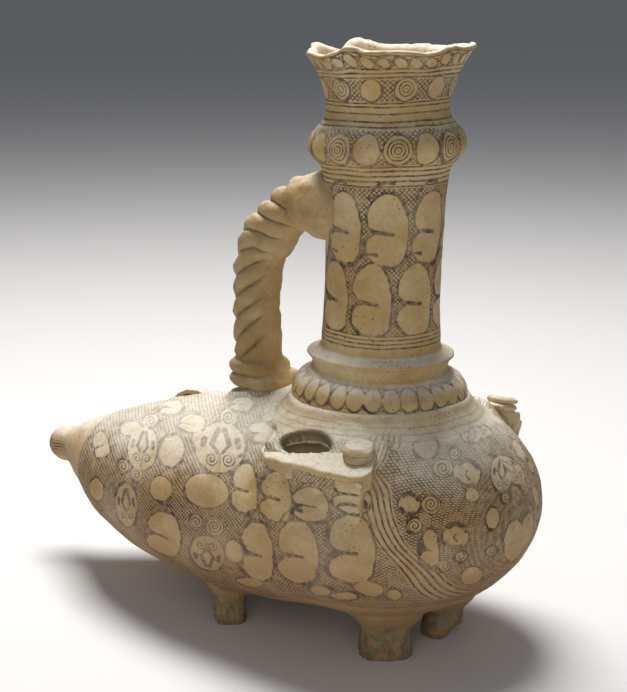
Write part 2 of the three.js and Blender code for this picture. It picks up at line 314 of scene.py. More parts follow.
def keep_on_mesh(mesh, name, values):
    """Stores a number, or three, for every point of the mesh, for its material to read."""
    if values.ndim == 1:
        mesh.attributes.new(name, "FLOAT", "POINT").data.foreach_set("value", values)
    else:
        layer = mesh.attributes.new(name, "FLOAT_VECTOR", "POINT")
        layer.data.foreach_set("vector", values.ravel())


def settle(piece):
    """Keeps the piece inside the ewer's measured box, and sets it in the frame."""
    to_mm = to_frame.inverted()
    low, high = (np.array(to_mm @ Vector(corner)) for corner in (cad_low, cad_high))
    spots, _ = mesh_arrays(piece.data)
    piece.data.vertices.foreach_set("co", np.clip(spots, low + 0.02, high - 0.02).ravel())
    piece.data.transform(to_frame)
    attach(piece, "root")


def oval(x, y, wide, high, lean=0.0):
    """Rough distance outside an oval about the origin, with its axis leaning left by lean degrees."""
    c, s = math.cos(math.radians(lean)), math.sin(math.radians(lean))
    return (np.hypot((x * c + y * s) / wide, (y * c - x * s) / high) - 1) * min(wide, high)


def stroke(x, y, start, end, half):
    """Distance outside a round-ended brush stroke."""
    (ax, ay), (bx, by) = start, end
    dx, dy = bx - ax, by - ay
    t = np.clip(((x - ax) * dx + (y - ay) * dy) / (dx * dx + dy * dy), 0, 1)
    return np.hypot(x - ax - t * dx, y - ay - t * dy) - half


def soft_least(a, b, soft):
    """The lesser of two distances, with the corner between them rounded."""
    h = np.clip(0.5 + (b - a) / (2 * soft), 0, 1)
    return b * (1 - h) + a * h - soft * h * (1 - h)


def bow(x, y, middle, radius, start, end, half):
    """Distance outside a brush stroke that bends round a middle between two directions, in degrees."""
    turns = np.radians(np.linspace(start, end, 5))
    posts = [(middle[0] + radius * math.cos(t), middle[1] + radius * math.sin(t)) for t in turns]
    return np.minimum.reduce([stroke(x, y, a, b, half) for a, b in zip(posts, posts[1:])])


# A painted motif takes places in parts of its half width and half height, and gives the distance
# outside its cream shapes, the distance outside its brush strokes, and its scrolls.
def leaf(x, y):
    cream = oval(x + 0.14, y - 0.5, 0.8, 0.5, 14)
    cream = soft_least(cream, oval(x + 0.08, y + 0.57, 0.9, 0.42, -8), 0.05)
    cream = soft_least(cream, oval(x - 0.38, y + 0.02, 0.6, 0.84, 6), 0.12)
    ink = stroke(x, y, (-0.7, -0.03), (0.3, -0.12), 0.05)
    return cream, np.minimum(ink, bow(x, y, (-0.1, 0.42), 0.96, 70, 150, 0.05)), []


def lobe(x, y):
    return oval(x, y, 1, 1), x * 0 + 9, []


def scroll(x, y):
    return np.hypot(x, y) - 1, x * 0 + 9, [(0, 0, 1)]


def palmette(x, y):
    cream = oval(x, y, 1, 1)
    side = np.abs(x)
    ink = stroke(side, y, (0.12, 0.72), (0.36, 0.12), 0.1)
    ink = np.minimum(ink, stroke(side, y, (0.36, 0.12), (0.1, -0.22), 0.06))
    ink = np.minimum(ink, stroke(side, y, (0.68, 0.3), (0.72, 0.08), 0.12))
    ink = np.minimum(ink, stroke(x, y, (0, -0.9), (0, -0.36), 0.03))
    return cream, ink, [(-0.34, -0.48, 0.32), (0.34, -0.48, 0.32)]


def rosette(x, y):
    ink = bow(x, y, (0, 0), 0.9, 20, 130, 0.16)
    ink = np.minimum(ink, bow(x, y, (0, 0), 0.9, 205, 300, 0.14))
    ink = np.minimum(ink, bow(x, y, (0.2, -0.1), 0.32, 100, 260, 0.06))
    return np.hypot(x, y) - 1, ink, []


# Each motif: its kind, place on the near flank, half width, half height and turn in degrees. They
# are painted squarely to someone who stands where the camera does.
BELLY_MOTIFS = [
    (leaf, (-199, -47, 103), 6, 8, 30),
    (lobe, (-190, -62, 77), 5.5, 7.5, 0),
    (palmette, (-148, -62, 113), 10.5, 13, 0),
    (scroll, (-160, -68, 100), 4, 4, 0),
    (scroll, (-143, -74, 99), 4, 4, 0),
    (lobe, (-118, -68, 118), 8.5, 9.5, 0),
    (lobe, (-114, -83, 97), 7.5, 7.5, 0),
    (palmette, (-76, -70, 128), 16, 14.5, 0),
    (lobe, (-73, -88, 105), 14, 10, 0),
    (leaf, (-42, -89, 113), 8, 14, 0),
    (palmette, (-149, -78, 78), 8, 14, 0),
    (leaf, (-111, -85, 68), 12, 14.5, -10),
    (scroll, (-78, -92, 85), 4.5, 4.5, 0),
    (scroll, (-62, -94, 86), 5.5, 5.5, 0),
    (palmette, (-73, -88, 64), 11, 12, 180),
    (lobe, (-47, -93, 73), 5.5, 7, 0),
    (lobe, (-46, -80, 49), 7.5, 3.5, 0),
    (scroll, (-161, -39, 124), 5.5, 4, 0),
    (scroll, (-89, -46, 140), 5.5, 4.5, 0),
    (leaf, (-116, -49, 132), 8.5, 5, 0),
    (lobe, (-177, -42, 117), 8, 4, 0),
    (leaf, (-156, -24, 131), 8, 4, 0),
    (leaf, (-90, -30, 145), 7, 4, 0),
    (leaf, (-50, -61, 140), 8.5, 5.5, 0),
    (lobe, (-100, -62, 128), 4.5, 4, 0),
    (leaf, (-15, -93, 114), 9, 14, 0),
    (leaf, (11, -94, 114), 10.5, 9.5, 0),
    (leaf, (41, -94, 127), 11, 12, 0),
    (leaf, (-28, -95, 77), 10, 18.5, 0),
    (leaf, (5, -98, 84), 12, 19, 0),
    (leaf, (38, -91, 91), 14, 20, 0),
    (lobe, (13, -86, 59), 6, 3.5, 0),
    (lobe, (26, -81, 57), 7.5, 3, 0),
    (lobe, (44, -80, 65), 9, 4.5, -8),
    (lobe, (54, -70, 61), 4.5, 3.5, 0),
    (lobe, (56, -40, 144), 7, 6, 0),
    (scroll, (69, -42, 134), 5.5, 4.5, 0),
    (scroll, (69, -29, 140), 3, 3, 0),
    (palmette, (66, -5, 146), 6.5, 5, 0),
    (scroll, (75, 14, 137), 3.5, 3.5, 0),
    (rosette, (79, -31, 130), 8, 8, 0),
    (palmette, (88, -6, 125), 7, 10.5, 0),
    (scroll, (94, -11, 113), 3, 3.5, 0),
    (scroll, (96, 3, 110), 3, 3.5, 0),
    (scroll, (72, -59, 117), 5, 5, 0),
    (rosette, (63, -68, 118), 6, 6, 0),
    (scroll, (68, -70, 106), 4, 4, 0),
    (lobe, (85, -35, 119), 4, 3.5, 0),
    (rosette, (84, -51, 98), 7.5, 7.5, 0),
    (leaf, (75, -64, 92), 5, 10.5, 0),
    (scroll, (86, -48, 85), 3.5, 3, 0),
    (lobe, (94, -26, 104), 4, 6, 0),
    (lobe, (98, -7, 85), 6.5, 12.5, 0),
    (scroll, (94, -27, 84), 3, 3, 0),
    (lobe, (86, -35, 69), 6.5, 5.5, 0),
    (lobe, (54, -12, 152), 7, 3.5, 0),
    (scroll, (80, -56, 80), 3, 3, 0),
]
MEDALLION_LEAN = 0.39
LOW_BAND = 54.0
LOW_BAND_DEPTH = 11.0
along = np.array((math.cos(heading), math.sin(heading), 0))
lift = np.array(Vector(along).cross(look.normalized()))


def draw_motifs(motifs, spots, facing):
    """Distances outside the cream shapes and the ink, and each scroll's own places and depth."""
    cream = np.full(len(spots), 6.0)
    ink = np.full(len(spots), 6.0)
    coil = np.tile((0.0, 0.0, -3.0), (len(spots), 1))
    for kind, place, wide, high, turn in motifs:
        off = spots - place
        far = np.linalg.norm(off, axis=1)
        out = facing[np.argmin(far)]
        near = (far < 2.2 * max(wide, high) + 5) & (facing @ out > 0.1)
        c, s = math.cos(math.radians(turn)), math.sin(math.radians(turn))
        flat = np.stack([off[near] @ along, off[near] @ lift], 1) @ np.array([[c, -s], [s, c]])
        x, y = flat[:, 0] / wide, flat[:, 1] / high
        shape, strokes, scrolls = kind(x, y)
        size = min(wide, high)
        cream[near] = np.minimum(cream[near], shape * size)
        ink[near] = np.minimum(ink[near], strokes * size)
        for mid_x, mid_y, radius in scrolls:
            own_x, own_y = (x - mid_x) * wide, (y - mid_y) * high
            own = np.stack([own_x, own_y, radius * size - np.hypot(own_x, own_y)], 1)
            inside = own[:, 2] > -1
            coil[np.flatnonzero(near)[inside]] = own[inside]
    return cream, ink, coil


def lay_out_paint(mesh, bare, striped=True):
    """Stores on a mesh where the belly's pattern runs over it, except where it is bare."""
    spots, facing = mesh_arrays(mesh)
    far = spots[:, 1] > 0
    side, side_facing = spots.copy(), facing.copy()
    side[far, 1] *= -1
    side_facing[far, 1] *= -1
    cream, ink, coil = draw_motifs(BELLY_MOTIFS, side, side_facing)
    x, y, z = side.T
    line = smooth_line(BELLY_ROWS, 400)
    half, top, bottom = (np.interp(-x, line[:, 0], line[:, k]) for k in (1, 2, 3))
    shrink = np.sqrt(np.clip(1 - (np.maximum(x, 0) / REAR_REACH) ** 2, 0.0004, 1))
    rise = (z - (top + bottom) / 2) / ((top - bottom) / 2 * shrink + 0.01)
    round_body = np.arctan2(-y / np.maximum(half * shrink, 1), rise)
    across = round_body * (half + (top - bottom) / 2) / 2
    bulge = 5 * np.exp(-(((z - 79) / 16) ** 2))
    plane = np.array((1, 0, MEDALLION_LEAN)) / math.hypot(1, MEDALLION_LEAN)
    medallion = (x - 34 - bulge + MEDALLION_LEAN * (z - 156)) * plane[0]
    medallion /= np.sqrt(np.clip(1 - (side_facing @ plane) ** 2, 0.1, 1))
    if not striped:
        medallion[:] = 60
    band = bottom + 18 + (LOW_BAND - bottom - 18) * ease(x, -70, 15)
    below = (band - z) / np.sqrt(np.clip(1 - facing[:, 2] ** 2, 0.09, 1))
    from_neck = np.where(z > 100, np.hypot(x - NECK_X, y), 200)
    zone = np.minimum.reduce([-below, from_neck - 72, x + 226, np.abs(medallion) - 8])
    cream[bare], ink[bare], coil[bare] = 6, 6, (0, 0, -3)
    zone[bare], below[bare], from_neck[bare] = -9, 99, 0
    medallion[bare] = 60
    keep_on_mesh(mesh, "cream", cream)
    keep_on_mesh(mesh, "ink", ink)
    keep_on_mesh(mesh, "coil", coil)
    keep_on_mesh(mesh, "net", np.stack([-x, across, zone], 1))
    keep_on_mesh(mesh, "stripes", np.stack([medallion, below, from_neck], 1))
    # Painted shade: the stored mask below darkens the lugs' slots and their hollow walls, where shade
    # falls in them
    lug_x, out, lug_z = on_near_lug(spots)
    hollow = ~bare | (lug_z < lug_face(lug_x, out) - 1)
    keep_on_mesh(mesh, "slot_shade", np.clip(slot_share(spots) * 5 + 1, 0, 1) * (z > 120) * hollow)


belly = new_piece("belly", bm)
inside = np.array([layer.value for layer in belly.data.attributes["skin"].data]) < 0.5
lay_out_paint(belly.data, inside)

CREAM = (0.46, 0.32, 0.135, 1)
PALE_SLIP = (0.58, 0.46, 0.27, 1)
# Pale bloom and painted light for faces turned up
PALE_BLOOM_AND_TOP_LIGHT = (0.74, 0.69, 0.58, 1)
# Warm clay colour, also laid low down as painted shade
WARM_CLAY_AND_LOW_SHADE = (0.34, 0.185, 0.08, 1)
GREY_WEAR = (0.33, 0.31, 0.25, 1)
BROWN_PAINT = (0.05, 0.03, 0.022, 1)
WORN_PAINT = (0.19, 0.145, 0.11, 1)
GREY_PAINT = (0.2, 0.195, 0.2, 1)
SPECK = (0.08, 0.05, 0.03, 1)
# Painted shade: the dark colour laid in the lugs' slots, where shade falls
SLOT_SHADE = (0.13, 0.10, 0.05, 1)
# Heights in metres between which the slip turns from the warm, darker low tone, partly painted shade, to
# cream
LOW_TONE = (0.04, 0.165)
# Spacing of the painted lines and reach of the painted rings, in millimetres
NET_STEP = 3.0
STRIPE_STEP = 3.4
STRIPE_HALF = 7.5
LOW_LINE_STEP = 2.1
SCROLL_STEP = 2.1
SHOULDER_RINGS = (60.5, 71.5)


class Clay:
    """The node tree of a clay surface, with short calls for the nodes that it needs."""

    def __init__(self, name):
        self.material = bpy.data.materials.new(name)
        self.material.use_nodes = True
        self.nodes = self.material.node_tree.nodes
        self.links = self.material.node_tree.links
        self.shader = self.nodes["Principled BSDF"]
        self.place = self.nodes.new("ShaderNodeTexCoord").outputs["Object"]

    def feed(self, socket, value):
        if isinstance(value, bpy.types.NodeSocket):
            self.links.new(value, socket)
        else:
            socket.default_value = value

    def math(self, operation, *values):
        node = self.nodes.new("ShaderNodeMath")
        node.operation = operation
        for socket, value in zip(node.inputs, values):
            self.feed(socket, value)
        return node.outputs[0]

    def span(self, value, low, high, start=0.0, end=1.0):
        """start below low, end above high, and a smooth passage between them."""
        node = self.nodes.new("ShaderNodeMapRange")
        node.interpolation_type = "SMOOTHSTEP"
        for socket, entry in zip(node.inputs, (value, low, high, start, end)):
            self.feed(socket, entry)
        return node.outputs[0]

    def noise(self, scale, detail=3.0, roughness=0.55, stretch=None):
        node = self.nodes.new("ShaderNodeTexNoise")
        node.inputs["Scale"].default_value = scale
        node.inputs["Detail"].default_value = detail
        node.inputs["Roughness"].default_value = roughness
        place = self.place
        if stretch:
            mapping = self.nodes.new("ShaderNodeMapping")
            mapping.inputs["Scale"].default_value = stretch
            self.links.new(place, mapping.inputs["Vector"])
            place = mapping.outputs[0]
        self.links.new(place, node.inputs["Vector"])
        return node.outputs["Fac"]

    def specks(self, scale, size):
        """1 in scattered small spots and 0 between them."""
        node = self.nodes.new("ShaderNodeTexVoronoi")
        node.inputs["Scale"].default_value = scale
        self.links.new(self.place, node.inputs["Vector"])
        return self.span(node.outputs["Distance"], size * 0.6, size, 1.0, 0.0)

    def stored(self, name):
        node = self.nodes.new("ShaderNodeAttribute")
        node.attribute_name = name
        return node

    def parts(self, vector):
        node = self.nodes.new("ShaderNodeSeparateXYZ")
        self.links.new(vector, node.inputs[0])
        return node.outputs[0], node.outputs[1], node.outputs[2]

    def mix(self, share, a, b):
        node = self.nodes.new("ShaderNodeMix")
        node.data_type = "RGBA"
        self.feed(node.inputs[0], share)
        self.feed(node.inputs[6], a)
        self.feed(node.inputs[7], b)
        return node.outputs[2]

    def times(self, *values):
        product = values[0]
        for value in values[1:]:
            product = self.math("MULTIPLY", product, value)
        return product

    def plus(self, *values):
        total = values[0]
        for value in values[1:]:
            total = self.math("ADD", total, value)
        return total

    def length(self, x, y):
        return self.math("SQRT", self.plus(self.times(x, x), self.times(y, y)))

    def most(self, values):
        top = values[0]
        for value in values[1:]:
            top = self.math("MAXIMUM", top, value)
        return top

    def lines(self, value, spacing, share):
        """1 on lines across the value at even steps, each as wide as its share of a step."""
        wave = self.math("PINGPONG", self.math("DIVIDE", value, spacing), 0.5)
        return self.span(wave, share / 2 - 0.06, share / 2 + 0.06, 1.0, 0.0)

    def base(self, low_share=1.0, pale=1.0):
        """The slip's colour: cream, whitened where it faces up, partly a pale bloom and partly painted
        light from above, warmer and darker low down, partly as painted shade, and specked.
        """
        cloud = self.noise(24, 4, 0.6)
        colour = self.mix(self.span(cloud, 0.38, 0.7), CREAM, PALE_SLIP)
        warm = self.span(self.noise(34, 4, 0.65), 0.5, 0.72, 0.0, 0.5)
        colour = self.mix(warm, colour, WARM_CLAY_AND_LOW_SHADE)
        grey = self.span(self.noise(15, 5, 0.65), 0.5, 0.75, 0.0, 0.4)
        colour = self.mix(grey, colour, GREY_WEAR)
        height = self.parts(self.place)[2]
        # Painted shade in part: the slip grows warmer and darker toward the bottom, as much as low_share
        # gives for each piece
        low = self.span(self.plus(height, self.times(cloud, 0.05)), *LOW_TONE, 0.85, 0.0)
        colour = self.mix(self.times(low, low_share), colour, WARM_CLAY_AND_LOW_SHADE)
        facing = self.parts(self.nodes.new("ShaderNodeNewGeometry").outputs["Normal"])[2]
        # Painted light: faces turned up are whitened, partly a pale bloom and partly light falling from
        # above
        lit = self.plus(facing, self.times(self.noise(45, 5, 0.7), 0.7))
        self.bloom_and_top_light = self.span(lit, 0.72, 1.35, 0.0, pale)
        colour = self.mix(self.bloom_and_top_light, colour, PALE_BLOOM_AND_TOP_LIGHT)
        fine = self.noise(330, 3, 0.65)
        colour = self.mix(self.span(fine, 0.45, 0.75, 0.0, 0.35), colour, WARM_CLAY_AND_LOW_SHADE)
        specks = self.times(self.specks(330, 0.2), self.span(self.noise(40), 0.46, 0.6, 0.0, 0.85))
        return self.mix(specks, colour, SPECK)

    def finish(self, colour, bump=0.35, roughness=(0.62, 0.88)):
        self.links.new(colour, self.shader.inputs["Base Color"])
        grain = self.plus(self.noise(420, 4, 0.6), self.times(self.noise(60, 3), 1.6))
        node = self.nodes.new("ShaderNodeBump")
        node.inputs["Strength"].default_value = bump
        node.inputs["Distance"].default_value = 0.0009
        self.links.new(grain, node.inputs["Height"])
        self.links.new(node.outputs[0], self.shader.inputs["Normal"])
        self.links.new(self.span(self.noise(90), 0.3, 0.7, *roughness), self.shader.inputs["Roughness"])
        self.shader.inputs["Specular IOR Level"].default_value = 0.35
        return self.material

    def painted(self, colour, ink):
        """Brown paint over the slip where ink is 1, rubbed thin in patches, and greyer and fainter on top,
        partly as painted light from above.
        """
        worn = self.span(self.noise(26, 5, 0.7), 0.42, 0.68)
        paint = self.mix(worn, BROWN_PAINT, WORN_PAINT)
        # Painted light on the paint: greyer and fainter where faces turn up
        paint = self.mix(self.times(self.bloom_and_top_light, 0.85), paint, GREY_PAINT)
        scuffed = self.span(self.noise(210, 4, 0.75), 0.36, 0.6, 0.42, 0.97)
        faded_and_top_lit = self.span(self.bloom_and_top_light, 0.2, 1.0, 1.0, 0.55)
        return self.mix(self.times(ink, scuffed, faded_and_top_lit), colour, paint)


clay = Clay("painted_belly_clay")
wobble = clay.times(clay.math("SUBTRACT", clay.noise(160, 2), 0.5), 1.6)
cream_gap = clay.plus(clay.stored("cream").outputs["Fac"], wobble)
ink_gap = clay.plus(clay.stored("ink").outputs["Fac"], clay.times(wobble, 0.5))
net_x, net_y, net_zone = clay.parts(clay.stored("net").outputs["Vector"])
coil_x, coil_y, coil_depth = clay.parts(clay.stored("coil").outputs["Vector"])
medallion, below, from_neck = clay.parts(clay.stored("stripes").outputs["Vector"])


def outline_of(clay, gap):
    """A brush line along the edge of the cream shapes, thick in some places and thin in others."""
    half = clay.span(clay.noise(60, 2), 0.44, 0.68, 0.15, 0.95)
    off_edge = clay.math("ABSOLUTE", clay.math("SUBTRACT", gap, 0.6))
    return clay.span(off_edge, half, clay.plus(half, 0.45), 1.0, 0.0)


def crossed(clay, across, up, spacing, share):
    """Two sets of crossing slanted lines, as in a net."""
    return clay.most([
        clay.lines(clay.plus(across, up), spacing, share),
        clay.lines(clay.math("SUBTRACT", across, up), spacing, share),
    ])


net = crossed(clay, clay.plus(net_x, wobble), net_y, NET_STEP, 0.36)
net = clay.times(net, clay.span(cream_gap, 0.6, 1.1), clay.span(net_zone, -0.5, 0.8))
outline = clay.times(outline_of(clay, cream_gap), clay.span(net_zone, -6.0, -2.0))
strokes = clay.span(ink_gap, -0.2, 0.4, 1.0, 0.0)
radius = clay.length(coil_x, coil_y)
turn = clay.math("DIVIDE", clay.math("ARCTAN2", coil_y, coil_x), 2 * math.pi)
spiral = clay.lines(clay.math("SUBTRACT", clay.math("DIVIDE", radius, SCROLL_STEP), turn), 1.0, 0.42)
spiral = clay.times(spiral, clay.span(coil_depth, 0.0, 0.4))
stripes = clay.times(
    clay.lines(clay.plus(medallion, clay.times(wobble, 0.4)), STRIPE_STEP, 0.36),
    clay.span(clay.math("ABSOLUTE", medallion), STRIPE_HALF - 0.3, STRIPE_HALF + 0.3, 1.0, 0.0),
    clay.span(below, -0.5, 0.5, 1.0, 0.0),
    clay.span(from_neck, 63, 66),
)
band = clay.times(
    clay.lines(clay.plus(below, clay.times(wobble, 0.35)), LOW_LINE_STEP, 0.5),
    clay.span(below, -0.3, 0.3),
    clay.span(below, LOW_BAND_DEPTH, LOW_BAND_DEPTH + 1, 1.0, 0.0),
)
ring_start, ring_end = SHOULDER_RINGS
collar = clay.times(
    clay.lines(clay.plus(from_neck, wobble), STRIPE_STEP, 0.26),
    clay.span(from_neck, ring_start, ring_start + 0.5),
    clay.span(from_neck, ring_end - 0.5, ring_end + 0.5, 0.45, 0.0),
)
ink_all = clay.most([outline, net, strokes, spiral, stripes, band, collar])
colour = clay.painted(clay.base(), ink_all)
# Painted shade laid into the lugs' slots
colour = clay.mix(clay.stored("slot_shade").outputs["Fac"], colour, SLOT_SHADE)
belly_clay = clay.finish(colour)
belly.data.materials.append(belly_clay)
settle(belly)
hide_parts("ewer")


# Neck: turned as one tube and set on the belly, with a base roll, a flange, a bulging ring and a
# flared mouth. Its lip was pinched by hand and is chipped. Paint runs round it in bands.
NECK_PROFILE = [
    (46, 147), (52, 151), (54.4, 157), (54.9, 163), (53.2, 168.5), (49.2, 173), (44.6, 175), (42.6, 176.6),
    (42.2, 179.5), (42.9, 182.4), (44.6, 184.6), (45.5, 185.4), (45.7, 186.2), (45.2, 187), (42, 188.6),
    (38.6, 190), (37.2, 192), (36.9, 198), (36.3, 210), (35.7, 226), (35.9, 246), (36.4, 266), (37.2, 281),
    (38, 292), (38.9, 299), (40.9, 303.4), (44.8, 307.4), (47.5, 311.5), (48.1, 315.6), (47, 320),
    (44, 324.4),
    (40.7, 328), (38.3, 331.8), (37.1, 336.2), (37.6, 342), (39.2, 348), (41.4, 354.5), (43.8, 360.3),
    (46.4, 364.8), (49, 368.2), (50.5, 370.2), (50.4, 371.6), (49.4, 372.4), (47.6, 372.6),
]
BORE_PROFILE = [
    (47.6, 372.6), (45.8, 371.6), (43.6, 368), (40, 359), (36, 349), (33.2, 339), (32.6, 330), (35, 320),
    (35.2, 312), (31.4, 301), (29.6, 290), (29.4, 230), (29.5, 165), (30, 148), (46, 147),
]
NECK_STEPS = 250
BORE_STEPS = 46
NECK_AROUND = 264
LIP_HEIGHT = 371.3
FLANGE_HEIGHT = 186.0
NECK_OFFSET = -4.3
NECK_LEAN = 0.026
RING_TIP = -0.0225
RING_TIP_GROWTH = 0.00035
PINCHES = [
    (-112, -2.2, 11), (-84, 3.2, 9), (-28, -2, 14), (-11, 1.8, 8), (34, 1.2, 14), (80, -1.3, 10),
    (147, 5, 12), (164, -2, 6), (188, 3.6, 10), (214, -1, 10),
]


def lip_rise(turn):
    """Rise of the lip in a direction, in degrees."""
    off = [(turn - at + 540) % 360 - 180 for at, _, _ in PINCHES]
    return sum(rise * np.exp(-((o / wide) ** 2)) for o, (_, rise, wide) in zip(off, PINCHES))


def lean_neck(spots):
    """Leans the turned neck to the rear, tips its rings and waves its lip."""
    x, y, z = spots.T
    rise = lip_rise(np.degrees(np.arctan2(y, x))) * ease(z, LIP_HEIGHT - 15, LIP_HEIGHT - 1)
    height = np.maximum(z, 164)
    tip = RING_TIP + RING_TIP_GROWTH * (height - FLANGE_HEIGHT)
    spread = 1 + 0.012 * rise
    return np.stack([
        x * spread + NECK_OFFSET + NECK_LEAN * (height - FLANGE_HEIGHT),
        y * spread,
        z + rise + x * spread * tip,
    ], 1)


bm = bmesh.new()
outer_line = smooth_line(NECK_PROFILE, NECK_STEPS)[:-1]
bore_line = smooth_line(BORE_PROFILE, BORE_STEPS)[:-1]
profile = np.vstack([outer_line, bore_line])
posts = [bm.verts.new((radius, 0, height)) for radius, height in profile]
for a, b in zip(posts, posts[1:] + posts[:1]):
    bm.edges.new((a, b))
bmesh.ops.spin(bm, geom=bm.verts[:] + bm.edges[:], cent=(0, 0, 0), axis=(0, 0, 1), angle=2 * math.pi,
               steps=NECK_AROUND, use_merge=True)
face_outward(bm)
turned = read_spots(bm)
out = np.array([v.normal for v in bm.verts])
wear = 0.5 * rough(turned, 30, 4) + 0.22 * rough(turned, 9, 5) + 0.1 * rough(turned, 3, 6)
chips = np.minimum(0, rough(turned, 5.5, 7) + 0.1) * 2.2 * ease(turned[:, 2], LIP_HEIGHT - 5, LIP_HEIGHT)
write_spots(bm, lean_neck(turned + out * (wear + chips - 0.15)[:, None]))
neck = new_piece("neck", bm)
keep_on_mesh(neck.data, "turned", turned)

NECK_LEAVES = [(267.5, 21, -98), (225, 21, -66.5)]
NECK_LEAF_HALF = 12.8
# Rows of ovals round the neck: height, half width, half height, how many, first direction, slant
OVAL_ROWS = [
    (168.3, 5.1, 6, 30, 0, 0),
    (315.5, 8.4, 8.6, 8, -93, 0),
    (315.5, 7.6, 9, 8, -70.5, 0),
    (349.5, 6.4, 6, 12, -71, 0),
    (365.2, 3.3, 2.9, 30, 0, 0.5),
]
cream = np.full(len(turned), 6.0)
ink = np.full(len(turned), 6.0)
coil = np.tile((0.0, 0.0, -3.0), (len(turned), 1))
x, y, z = turned.T
degrees = np.degrees(np.arctan2(y, x))
reach = np.hypot(x, y)
outside = np.hypot(x, y) > np.interp(z, [130, 300, 316, 330, 340, 373], [34, 34.5, 40, 36, 35, 47.4])


def direction_from(start, step):
    """How far round each place lies, in degrees, from the nearest of a row of like motifs."""
    return (degrees - start + step / 2) % step - step / 2


for middle, high, start in NECK_LEAVES:
    flat = np.radians(direction_from(start, 45)) * 36.5
    shape, strokes, _ = leaf(flat / NECK_LEAF_HALF, (z - middle) / high)
    near = outside & (np.abs(z - middle) < high * 1.4)
    cream[near] = np.minimum(cream[near], shape[near] * NECK_LEAF_HALF)
    ink[near] = np.minimum(ink[near], strokes[near] * NECK_LEAF_HALF)
for middle, wide, high, count, start, slant in OVAL_ROWS:
    flat = np.radians(direction_from(start, 360 / count)) * reach + slant * (z - middle)
    shape = oval(flat, z - middle, wide, high)
    near = outside & (np.abs(z - middle) < high * 1.4)
    cream[near] = np.minimum(cream[near], shape[near])
for middle, radius, count, start in [(315.5, 7.6, 8, -93), (350, 5.6, 6, -41)]:
    own_x = np.radians(direction_from(start, 360 / count)) * reach
    own = np.stack([own_x, z - middle, radius - np.hypot(own_x, z - middle)], 1)
    near = outside & (own[:, 2] > -1)
    coil[near] = own[near]
keep_on_mesh(neck.data, "cream", np.where(outside, cream, 6))
keep_on_mesh(neck.data, "ink", ink)
keep_on_mesh(neck.data, "coil", coil)
keep_on_mesh(neck.data, "outside", outside.astype(float))

clay = Clay("painted_neck_clay")
turned_x, turned_y, height = clay.parts(clay.stored("turned").outputs["Vector"])
turn = clay.math("ARCTAN2", turned_y, turned_x)
wobble = clay.times(clay.math("SUBTRACT", clay.noise(160, 2), 0.5), 1.6)
drift = clay.times(clay.math("SUBTRACT", clay.noise(30, 2), 0.5), 2.5)
level = clay.plus(height, clay.times(wobble, 0.3), drift)
cream_gap = clay.plus(clay.stored("cream").outputs["Fac"], wobble)
ink_gap = clay.plus(clay.stored("ink").outputs["Fac"], clay.times(wobble, 0.5))
coil_x, coil_y, coil_depth = clay.parts(clay.stored("coil").outputs["Vector"])


def ring_lines(clay, level, heights, half):
    """1 on thin rings at the given heights."""
    offs = [clay.math("ABSOLUTE", clay.math("SUBTRACT", level, at)) for at in heights]
    return clay.most([clay.span(off, half - 0.15, half + 0.35, 1.0, 0.0) for off in offs])


def between(clay, level, low, high):
    return clay.times(clay.span(level, low, low + 0.8), clay.span(level, high - 0.8, high, 1.0, 0.0))


SHAFT_RINGS = [196.3, 198.9, 201.4, 203.8]
SHOULDER_LINES = [293.6, 296.6, 299.6, 302.6, 305.2]
MOUTH_RINGS = [328.4, 331.3, 335.9, 339.9, 342.1, 356.8, 359.2, 361.6, 369.5]
SHAFT_RADIUS = 36.5
rings = clay.most([
    ring_lines(clay, level, SHAFT_RINGS, 0.35),
    ring_lines(clay, level, SHOULDER_LINES, 0.45),
    ring_lines(clay, level, MOUTH_RINGS, 0.4),
])
arc = clay.times(turn, SHAFT_RADIUS)
net = crossed(clay, clay.plus(arc, wobble), height, 2.9, 0.36)
painted_bands = clay.most([
    between(clay, level, 204, 293), between(clay, level, 162.2, 174), between(clay, level, 306, 327),
    between(clay, level, 343, 356), between(clay, level, 362, 368.6),
])
net = clay.times(net, painted_bands, clay.span(cream_gap, 0.6, 1.1))
outline = clay.times(outline_of(clay, cream_gap), clay.most([
    between(clay, level, 203, 293.5), between(clay, level, 160, 175.2), between(clay, level, 304, 370),
]))
strokes = clay.span(ink_gap, -0.2, 0.4, 1.0, 0.0)
radius = clay.length(coil_x, coil_y)
rounds = clay.lines(clay.plus(radius, clay.times(wobble, 0.4)), SCROLL_STEP, 0.4)
rounds = clay.times(rounds, clay.span(coil_depth, 0.0, 0.4))
ink_all = clay.most([rings, net, outline, strokes, rounds])
ink_all = clay.times(ink_all, clay.stored("outside").outputs["Fac"])
neck.data.materials.append(clay.finish(clay.painted(clay.base(low_share=0.4), ink_all)))
settle(neck)


# Handle: a thick twist of clay strands, smoothed on the side toward the neck. Two coils wrap its
# foot on the ridge, and a plain trumpet joins it to the neck. It is bare slip. The smooth and the
# swollen sides are given as cosines from the handle's outer side.
HANDLE_LINE = [
    (-98, 0, 137), (-99.5, -1, 169.5), (-98.8, -3, 200.5), (-96.4, -5, 223), (-90.5, -8, 246),
    (-77, -10.5, 260.5), (-56.5, -13.5, 274), (-33.5, -14.5, 276.5), (-12, -14.5, 277.5),
]
HANDLE_DEPTH = 15.2
HANDLE_WIDTH = 13.7
ROPE_STRANDS = 5
ROPE_TURNS = 2.8
ROPE_DEPTH = 4.6
ROPE_FROM = 32
ROPE_TO = 158
FOOT_COILS = [(19, 4.5, 5), (27.8, 4.3, 4.2)]
HEEL_SPREAD = 10
HEEL_TOP = 39
BEND_MIDDLE = 120
BEND_SPREAD = 17
BEND_SWELL = 4
COLLAR_STEP = 2.2
TRUMPET_FROM = 156
TRUMPET_TO = 178
TRUMPET_FLARE = 4.5
WALL_MIDDLE = 32.5
